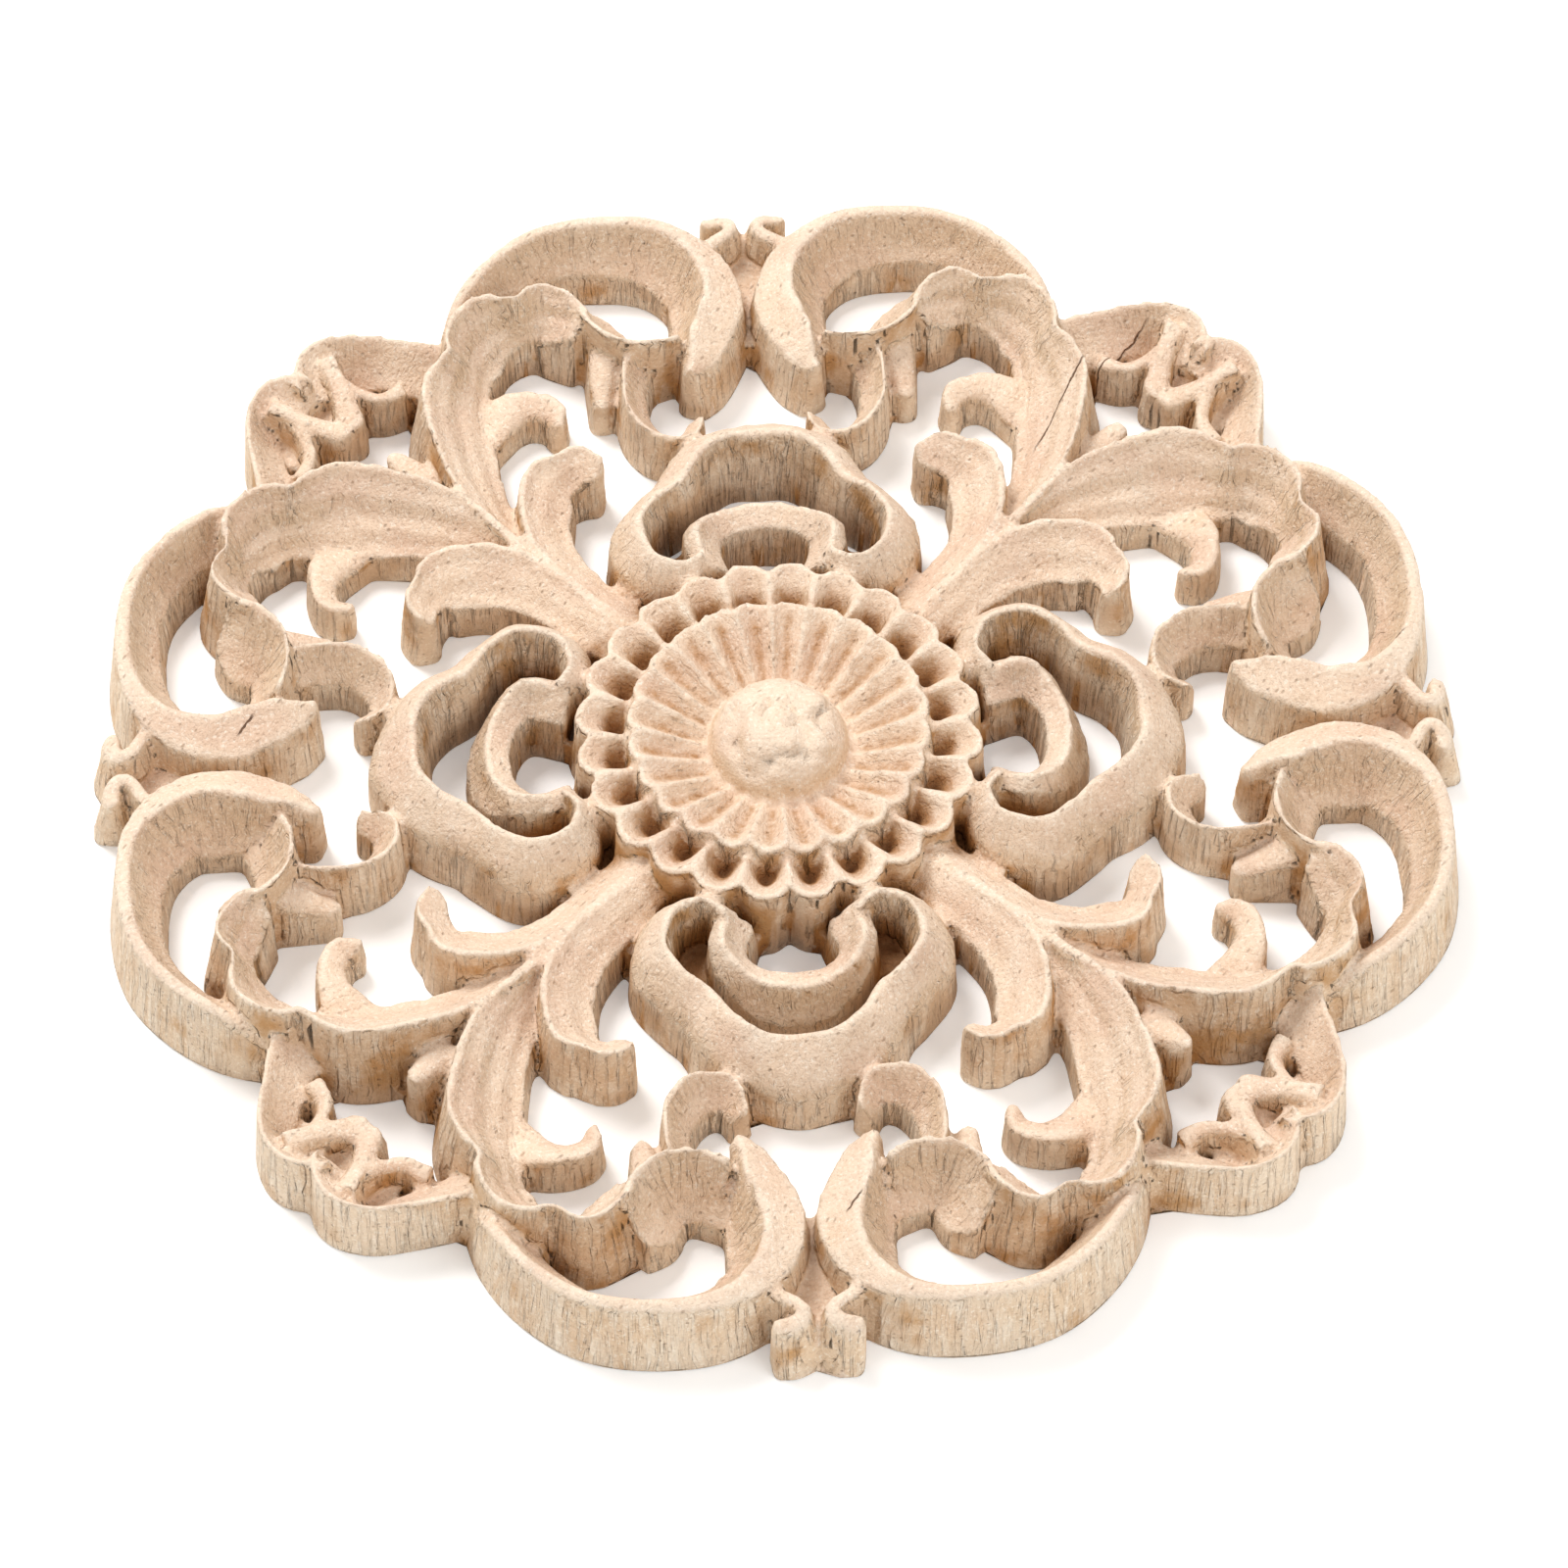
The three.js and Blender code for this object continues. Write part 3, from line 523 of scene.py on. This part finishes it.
def raw_rubberwood(props):
    """Raw rubberwood, milled by a small round bit and left unsanded. It is matt and creamy, with a painted
    highlight on the crests, painted shade that makes the walls tan, and golden brown torn fibres in the
    hollows with painted shade there."""
    material = bpy.data.materials.new("raw_rubberwood")
    material.use_nodes = True
    tree = material.node_tree
    tree.nodes.clear()
    place = add(tree, "ShaderNodeTexCoord").outputs["Object"]
    normal = add(tree, "ShaderNodeNewGeometry").outputs["Normal"]
    facing = add(tree, "ShaderNodeSeparateXYZ", {0: normal}).outputs["Z"]
    height = add(tree, "ShaderNodeSeparateXYZ", {0: place}).outputs["Z"]
    # Painted shade: darker where a point lies deep in a hollow
    painted_shade = add(tree, "ShaderNodeAttribute", attribute_name="hollow_shade").outputs["Fac"]
    crest = add(tree, "ShaderNodeAttribute", attribute_name="crest").outputs["Fac"]
    along = add(tree, "ShaderNodeAttribute", attribute_name="along").outputs["Fac"]
    grain = add(tree, "ShaderNodeMapping", {0: place, "Rotation": (0, 0, -props.grain_angle)}).outputs[0]
    wall = add(tree, "ShaderNodeMapRange", {0: facing, 1: 0.75, 2: 0.2, 3: 0.0, 4: 1.0},
               interpolation_type="SMOOTHSTEP").outputs[0]

    # Growth bands, about 3 mm wide and 40 mm long
    bands = add(tree, "ShaderNodeMapping", {0: grain, "Scale": (25, 330, 330)}).outputs[0]
    bands = add(tree, "ShaderNodeTexNoise", {
        "Vector": bands, "Scale": 1.0, "Detail": 3.0, "Roughness": 0.55}).outputs["Fac"]
    base = add(tree, "ShaderNodeMix", {0: bands, 6: props.pale_colour, 7: props.wood_colour},
               data_type="RGBA").outputs[2]
    blush = add(tree, "ShaderNodeTexNoise", {"Vector": place, "Scale": 130.0, "Detail": 2.0}).outputs["Fac"]

    # Ridges that the bit left across each stroke, about 0.8 mm apart
    across = add(tree, "ShaderNodeMath", {0: along, 1: 2.1}, operation="MULTIPLY").outputs[0]
    upward = add(tree, "ShaderNodeMath", {0: height, 1: 160.0}, operation="MULTIPLY").outputs[0]
    ridges = add(tree, "ShaderNodeCombineXYZ", {0: across, 1: upward}).outputs[0]
    ridges = add(tree, "ShaderNodeTexNoise", {
        "Vector": ridges, "Scale": 1.0, "Detail": 2.0, "Roughness": 0.6}).outputs["Fac"]
    seam = add(tree, "ShaderNodeAttribute", attribute_name="seam").outputs["Fac"]
    plain = add(tree, "ShaderNodeMath", {0: 1.0, 1: seam}, operation="SUBTRACT", use_clamp=True).outputs[0]
    ridges = add(tree, "ShaderNodeMath", {0: ridges, 1: plain}, operation="MULTIPLY").outputs[0]
    wall_ridges = add(tree, "ShaderNodeMath", {0: ridges, 1: wall}, operation="MULTIPLY").outputs[0]

    # Nap of cut fibres: they are finer than 0.2 mm and are drawn at 0.4 mm so that they show
    nap = add(tree, "ShaderNodeTexNoise", {
        "Vector": place, "Scale": 2400.0, "Detail": 3.0, "Roughness": 0.7}).outputs["Fac"]
    # Tufts of torn fibre, about 1.5 mm across, and stained patches of about 5 mm
    tufts = add(tree, "ShaderNodeTexNoise", {
        "Vector": place, "Scale": 700.0, "Detail": 4.0, "Roughness": 0.7}).outputs["Fac"]
    patches = add(tree, "ShaderNodeTexNoise", {
        "Vector": place, "Scale": 190.0, "Detail": 3.0}).outputs["Fac"]
    enclosed = add(tree, "ShaderNodeAttribute", attribute_name="enclosed").outputs["Fac"]
    stain_and_bottom_shade = add(tree, "ShaderNodeMath", {0: patches, 1: wall}, operation="MULTIPLY").outputs[0]
    # Painted shade: darker golden low on the walls of enclosed spaces, added to the stained patches
    low = add(tree, "ShaderNodeMapRange", {0: height, 1: 0.009, 2: 0.001, 3: 0.14, 4: 0.32}).outputs[0]
    bottom_shade = add(tree, "ShaderNodeMath", {0: enclosed, 1: low}, operation="MULTIPLY").outputs[0]
    stain_and_bottom_shade = add(tree, "ShaderNodeMath", {0: bottom_shade, 1: wall, 2: stain_and_bottom_shade},
                  operation="MULTIPLY_ADD").outputs[0]
    # Tufts of torn fibre together with the painted shade of the hollows
    fibres_and_shade = add(tree, "ShaderNodeMath", {0: tufts, 1: 0.6, 2: painted_shade},
                operation="MULTIPLY_ADD").outputs[0]

    # Open pores, short dashes along the grain about 0.9 by 0.3 mm
    cells = add(tree, "ShaderNodeMapping", {0: grain, "Scale": (480, 1250, 1250)}).outputs[0]
    pore = add(tree, "ShaderNodeTexVoronoi", {"Vector": cells, "Scale": 1.0, "Randomness": 1.0})
    chosen = add(tree, "ShaderNodeSeparateColor", {0: pore.outputs["Color"]}).outputs[0]
    chosen = add(tree, "ShaderNodeMath", {0: chosen, 1: 0.68}, operation="GREATER_THAN").outputs[0]
    pores = add(tree, "ShaderNodeMapRange", {
        0: pore.outputs["Distance"], 1: 0.26, 2: 0.1, 3: 0.0, 4: 1.0}).outputs[0]
    pores = add(tree, "ShaderNodeMath", {0: pores, 1: chosen}, operation="MULTIPLY").outputs[0]

    # Cracks opened along the grain as the board dried
    wobble = add(tree, "ShaderNodeTexNoise", {
        "Vector": place, "Scale": 500.0, "Detail": 2.0}).outputs["Fac"]
    cracks = 0.0
    for x0, y0, x1, y1 in CRACKS:
        crack = crack_mask(tree, place, wobble, x0, y0, x1, y1, 0.12)
        cracks = add(tree, "ShaderNodeMath", {0: crack, 1: cracks}, operation="MAXIMUM").outputs[0]

    # Colours laid one over another: each shows where its pattern runs from one bound to the other
    for colour, pattern, low, high, most in (
        (linear("#DDBBA2"), blush, 0.42, 0.7, 0.6),
        # Painted shade: the upright walls are a darker tan than the faces that look up
        (props.wall_shade_colour, wall, 0.0, 1.0, 0.6),
        (linear("#F2E4D0"), wall_ridges, 0.47, 0.68, 0.5),
        (linear("#A98562"), tufts, 0.54, 0.75, 0.25),
        (linear("#8F6646"), nap, 0.54, 0.7, 0.3),
        (linear("#FFF6E8"), nap, 0.47, 0.3, 0.55),
        # Stained patches on the walls, with painted shade low in enclosed spaces
        (linear("#B98548"), stain_and_bottom_shade, 0.54, 0.8, 0.8),
        # Painted shade in the hollows: golden brown with the torn fibres, dark brown where deepest
        (props.fibre_and_shade_colour, fibres_and_shade, 0.5, 0.95, 0.85),
        (linear("#6E421C"), fibres_and_shade, 0.9, 1.3, 0.85),
        # Painted highlight: paler cream on the convex crests
        (linear("#EFE2CF"), crest, 0.25, 0.9, 0.3),
        (linear("#7E5C3E"), pores, 0.0, 1.0, 0.45),
        (linear("#6B4528"), cracks, 0.0, 1.0, 0.9),
    ):
        mask = add(tree, "ShaderNodeMapRange", {0: pattern, 1: low, 2: high, 3: 0.0, 4: most},
                   interpolation_type="SMOOTHSTEP").outputs[0]
        base = add(tree, "ShaderNodeMix", {0: mask, 6: base, 7: colour}, data_type="RGBA").outputs[2]

    bump = normal
    for pattern, strength, deep, sunk in (
        (tufts, 0.8, 0.38, False),
        (nap, 0.9, 0.22, False),
        (wall_ridges, 0.9, 0.48, False),
        (ridges, 0.7, 0.26, False),
        (pores, 0.5, 0.15, True),
        (cracks, 0.9, 0.4, True),
    ):
        bump = add(tree, "ShaderNodeBump", {"Height": pattern, "Strength": strength, "Distance": deep * MM,
                                            "Normal": bump}, invert=sunk).outputs[0]
    shader = add(tree, "ShaderNodeBsdfPrincipled", {
        "Base Color": base, "Normal": bump, "Roughness": 0.85, "IOR": 1.5, "Specular IOR Level": 0.2})
    add(tree, "ShaderNodeOutputMaterial", {"Surface": shader.outputs["BSDF"]})
    return material


# Properties and operators ---------------------------------------------------------------

class AppliqueSettings(PropertyGroup):
    """Sizes and colours of the rosette and its wood"""

    voxel: FloatProperty(name="Surface Step", description="Size of the steps of the carved surface",
                         default=0.42 * MM, min=0.2 * MM, max=2 * MM, precision=5, unit="LENGTH")
    flower_radius: FloatProperty(name="Flower Radius", description="Radius to the tips of the outer petals",
                                 default=22.4 * MM, min=5 * MM, max=40 * MM, precision=4, unit="LENGTH")
    flower_rim: FloatProperty(name="Petal Height", description="Height of the outer petals above the back",
                              default=10.8 * MM, min=4 * MM, max=20 * MM, precision=4, unit="LENGTH")
    petals: IntProperty(name="Petals", description="Petals in each ring of the flower",
                        default=24, min=6, max=60)
    boss_radius: FloatProperty(name="Boss Radius", description="Radius of the dome in the flower",
                               default=7.8 * MM, min=2 * MM, max=20 * MM, precision=4, unit="LENGTH")
    boss_height: FloatProperty(name="Boss Height", description="Height of the dome above the back",
                               default=13.2 * MM, min=4 * MM, max=30 * MM, precision=4, unit="LENGTH")
    faces: IntProperty(name="Face Limit", description="Most triangles that the carved surface may have",
                       default=192000, min=10000, max=199000)
    grain_angle: FloatProperty(name="Grain Angle", description="Direction of the grain in the board",
                               default=math.radians(48), subtype="ANGLE")
    wood_colour: FloatVectorProperty(name="Wood Colour", description="Darker growth bands",
                                     subtype="COLOR", size=4, min=0, max=1, default=linear("#E2C2A4"))
    pale_colour: FloatVectorProperty(name="Pale Band Colour", description="Paler growth bands",
                                     subtype="COLOR", size=4, min=0, max=1, default=linear("#F1DDC8"))
    # Painted shade on the upright walls
    wall_shade_colour: FloatVectorProperty(name="Wall Colour", description="Upright sides", subtype="COLOR",
                                     size=4, min=0, max=1, default=linear("#D9BB96"))
    # Colour of the torn fibres and of the painted shade in the hollows
    fibre_and_shade_colour: FloatVectorProperty(name="Hollow Colour", description="Torn fibres in the hollows",
                                       subtype="COLOR", size=4, min=0, max=1, default=linear("#A8743E"))


class APPLIQUE_OT_carving(Operator):
    """Build the carved rosette and its wood"""
    bl_idname = "applique.carving"
    bl_label = "Carved Rosette"

    def execute(self, context):
        props = context.scene.applique
        parts, marks, runs = [], [], []
        for stroke in STROKES.values():
            grid, run = stroke_surface(stroke, SECTION_STEP, FACE_ROWS)
            # Marks stand on the face and down both walls
            down = np.linspace(0.2, 0.8, 4)[None, :, None]
            walls = [grid[:, [edge]] * (1 - down) + grid[:, [foot]] * down
                     for edge, foot in ((1, 0), (-2, -1))]
            spots = np.concatenate([grid, *walls], axis=1)
            for copy in eight_copies(*close_grid(grid), stroke):
                parts.append(copy)
            # Every copy starts its run at another number, so that no two have the same ridges
            for copy, _ in eight_copies(spots.reshape(-1, 3), [], stroke):
                marks.append(copy)
                runs.append(np.repeat(run, spots.shape[1]) + RUN_APART * len(marks))
        parts.append(flower_surface(props.flower_radius / MM, props.flower_rim / MM, props.petals))
        parts.append(boss_surface(props.boss_radius / MM, props.boss_height / MM))
        for points, _ in parts[-2:]:
            marks.append(points)
            runs.append(np.arctan2(points[:, 1], points[:, 0]) * RING_RUN)
        points, faces = joined(parts)
        mesh = bpy.data.meshes.new("carved_rosette")
        mesh.from_pydata(points.tolist(), [], faces)
        obj = bpy.data.objects.new("carved_rosette", mesh)
        context.scene.collection.objects.link(obj)
        # One closed skin round all the strokes, worked at a scale of one unit to a millimetre
        remesh = obj.modifiers.new("one skin", "REMESH")
        remesh.mode = "VOXEL"
        remesh.voxel_size = props.voxel / MM
        evaluated(obj)
        skin = soften(vectors_of(obj.data, "co"), edges_of(obj.data), 2, 0.5)
        skin[:, 2] = np.maximum(skin[:, 2], 0)
        obj.data.vertices.foreach_set("co", skin.astype(np.float32).ravel())
        obj.data.update()
        count = sum(len(p.vertices) - 2 for p in obj.data.polygons)
        if count > props.faces:
            thin = obj.modifiers.new("fewer faces", "DECIMATE")
            thin.ratio = props.faces / count
            evaluated(obj)
        work_the_surface(obj.data, props.boss_radius / MM, props.petals,
                         np.concatenate(marks), np.concatenate(runs))
        obj.data.shade_smooth()
        obj.data.materials.append(raw_rubberwood(props))
        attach(obj, "root")
        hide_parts("carved_applique")
        return {"FINISHED"}


class APPLIQUE_OT_stage(Operator):
    """Add the floor, the studio lights and the camera"""
    bl_idname = "applique.stage"
    bl_label = "Stage"

    def execute(self, context):
        bpy.ops.mesh.primitive_plane_add(size=6, location=(0, 0, -0.0002))
        floor = context.object
        floor.name = "floor"
        white = bpy.data.materials.new("white_paper")
        white.use_nodes = True
        shader = white.node_tree.nodes["Principled BSDF"]
        shader.inputs["Base Color"].default_value = linear("#FBFBFA")
        shader.inputs["Roughness"].default_value = 0.9
        # A faint glow thins the shadows, as white acrylic lit from below does
        shader.inputs["Emission Color"].default_value = (1, 1, 1, 1)
        shader.inputs["Emission Strength"].default_value = 0.18
        floor.data.materials.append(white)
        world = bpy.data.worlds.new("studio")
        context.scene.world = world
        world.use_nodes = True
        world.node_tree.nodes["Background"].inputs["Color"].default_value = (1, 1, 1, 1)
        world.node_tree.nodes["Background"].inputs["Strength"].default_value = 0.65
        context.scene.view_settings.view_transform = "Standard"
        for name, place, size, power in (
            ("key", (-0.35, 0.45, 0.9), 0.4, 9.0),
            ("fill", (0.6, -0.5, 0.7), 0.6, 3.0),
        ):
            light = bpy.data.lights.new(name, "AREA")
            light.size = size
            light.energy = power
            lamp = bpy.data.objects.new(name, light)
            lamp.location = place
            lamp.rotation_euler = (-Vector(place)).to_track_quat("-Z", "Y").to_euler()
            context.scene.collection.objects.link(lamp)
        add_camera(context)
        return {"FINISHED"}


def add_camera(context):
    """Long lens that looks down at 56 degrees, turned 4 degrees off the axis and 0.8 degrees rolled."""
    reach, height, azimuth, roll = 73.6 * MM, 0.979463, 0.0692634, -0.0139015
    cx, cy, distance = -0.0089043, 0.0066201, 10.0819
    se, ce = math.sin(height), math.cos(height)
    right, up, back = Vector((1, 0, 0)), Vector((0, se, ce)), Vector((0, -ce, se))
    place = Vector((-cx, -cy * se - distance * ce, -cy * ce + distance * se)) * reach
    rolled_right = right * math.cos(roll) - up * math.sin(roll)
    rolled_up = right * math.sin(roll) + up * math.cos(roll)
    turn = Matrix.Rotation(-azimuth, 4, "Z")
    basis = Matrix((rolled_right, rolled_up, back)).transposed().to_4x4()
    data = bpy.data.cameras.new("camera")
    data.sensor_width = 36
    data.lens = 6871.32 / 1600 * 36
    camera = bpy.data.objects.new("camera", data)
    camera.matrix_world = turn @ Matrix.Translation(place) @ basis
    context.scene.collection.objects.link(camera)
    context.scene.camera = camera


class APPLIQUE_PT_sidebar(Panel):
    """Lists the sizes and the steps of the rosette"""
    bl_label = "Carved Applique"
    bl_idname = "APPLIQUE_PT_sidebar"
    bl_space_type = "VIEW_3D"
    bl_region_type = "UI"
    bl_category = "Applique"

    def draw(self, context):
        props = context.scene.applique
        for name in props.bl_rna.properties.keys():
            if name not in ("rna_type", "name"):
                self.layout.prop(props, name)
        self.layout.operator("applique.carving")
        self.layout.operator("applique.stage")


CLASSES = (AppliqueSettings, APPLIQUE_OT_carving, APPLIQUE_OT_stage, APPLIQUE_PT_sidebar)


def register():
    for cls in CLASSES:
        bpy.utils.register_class(cls)
    bpy.types.Scene.applique = PointerProperty(type=AppliqueSettings)


def unregister():
    del bpy.types.Scene.applique
    for cls in reversed(CLASSES):
        bpy.utils.unregister_class(cls)


def main():
    register()
    bpy.ops.applique.carving()
    bpy.ops.applique.stage()


if __name__ == "__main__":
    main()
